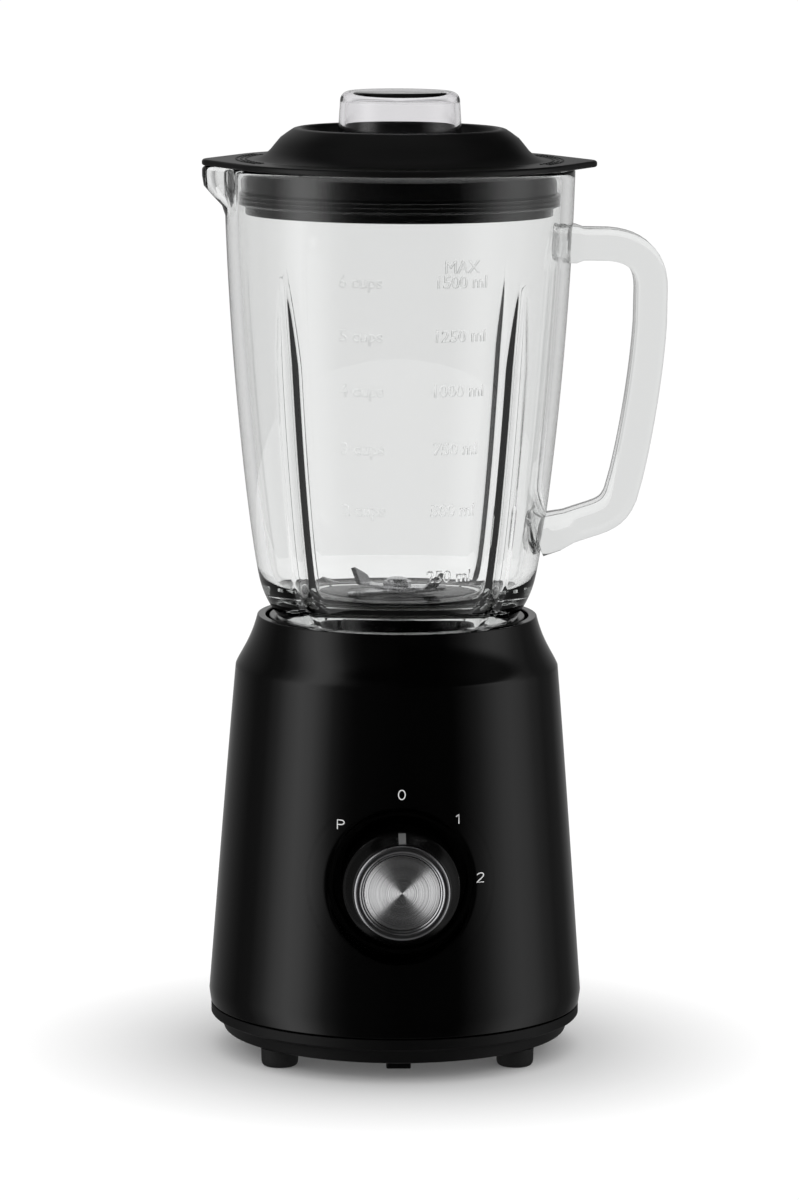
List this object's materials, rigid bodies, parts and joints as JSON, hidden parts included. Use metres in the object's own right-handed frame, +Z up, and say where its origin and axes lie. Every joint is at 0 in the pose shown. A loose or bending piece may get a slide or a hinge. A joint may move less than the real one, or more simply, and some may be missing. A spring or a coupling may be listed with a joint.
{
  "type": "countertop blender",
  "caption": "Countertop blender with a black motor base, rotary dial, glass jug with handle and spout, bladed bottom, press-in lid and clear filler cap.",
  "frame": {"origin": "where the vertical drive axis meets the table, below the middle of the four feet", "axes": "+Z up along the drive axis; the dial faces -Y, the handle points to +X and the spout to -X"},
  "size_m": [0.1896, 0.1681, 0.3945],
  "materials": {
    "gloss_black": "high gloss, moulded",
    "matte_black": "fine matt texture",
    "satin_black": "satin",
    "rubber_black": "matt",
    "seal_silicone": "translucent white, matt",
    "clear_glass": "clear, pressed",
    "clear_plastic": "clear with a faint violet grey tint",
    "brushed_metal": "turned, circular brushing",
    "chrome_trim": "polished",
    "stainless": "ground",
    "zinc_screw": "zinc plated",
    "cast_alloy": "die cast",
    "lamination": "stacked sheet edges",
    "copper": "enamelled wire",
    "brass": "bare",
    "bronze": "oil filled",
    "carbon": "pressed carbon",
    "switch_resin": "phenolic resin",
    "capacitor_yellow": "moulded case",
    "wire_red": "wire insulation",
    "nylon_white": "moulded"
  },
  "bodies": {
    "motor_base": {"base_shell": "gloss_black", "base_cover": "matte_black", "foot_front_left": "rubber_black", "foot_front_right": "rubber_black", "foot_rear_left": "rubber_black", "foot_rear_right": "rubber_black", "cover_screws": "zinc_screw", "cord_gland": "matte_black", "rotary_switch": "switch_resin", "switch_nut": "zinc_screw", "switch_leads": "wire_red", "suppression_capacitor": "capacitor_yellow", "motor_upper_bracket": "cast_alloy", "motor_lower_bracket": "cast_alloy", "motor_dampers": "rubber_black", "motor_mount_screws": "zinc_screw", "motor_through_bolts": "zinc_screw", "stator_core": "lamination", "field_coil_front": "copper", "field_coil_rear": "copper", "upper_bearing": "stainless", "lower_bearing": "stainless", "brush_holders": "brass", "carbon_brushes": "carbon", "brush_springs": "stainless"},
    "rotor": {"motor_shaft": "stainless", "armature_core": "lamination", "armature_winding": "copper", "commutator": "copper", "cooling_fan": "nylon_white", "drive_coupler": "rubber_black"},
    "dial": {"knob_body": "satin_black", "knob_trim_ring": "chrome_trim", "knob_cap": "brushed_metal", "switch_spindle": "stainless"},
    "jar": {"jar": "clear_glass", "jar_handle": "clear_glass", "jar_collar": "gloss_black", "jar_gasket": "seal_silicone", "blade_base": "satin_black", "blade_bush": "bronze", "spindle_seal": "rubber_black"},
    "blades": {"blade_spindle": "stainless", "upper_blade": "stainless", "lower_blade": "stainless", "blade_spacers": "stainless", "blade_nut": "stainless", "driven_coupling": "nylon_white", "thrust_washer": "stainless"},
    "lid": {"lid": "satin_black", "lid_seal": "rubber_black"},
    "filler_cap": {"filler_cap": "clear_plastic"}
  },
  "joints": [
    {"name": "jar_lift", "type": "slide", "parent": "motor_base", "child": "jar", "axis": [0, 0, 1], "range_m": [0, 0.07]},
    {"name": "lid_lift", "type": "slide", "parent": "jar", "child": "lid", "axis": [0, 0, 1], "range_m": [0, 0.05]},
    {"name": "cap_lift", "type": "slide", "parent": "lid", "child": "filler_cap", "axis": [0, 0, 1], "range_m": [0, 0.045]},
    {"name": "motor_spin", "type": "hinge", "parent": "motor_base", "child": "rotor", "pos_m": [0, 0, 0.0875], "axis": [0, 0, 1], "continuous": true},
    {"name": "blade_spin", "type": "hinge", "parent": "jar", "child": "blades", "pos_m": [0, 0, 0.17], "axis": [0, 0, 1], "continuous": true},
    {"name": "dial_turn", "type": "hinge", "parent": "motor_base", "child": "dial", "pos_m": [0, -0.07, 0.081], "axis": [0, 1, 0], "range_deg": [-45, 90]}
  ],
  "couplings": [
    {"joint": "blade_spin", "follows": "motor_spin", "ratio": 1}
  ]
}
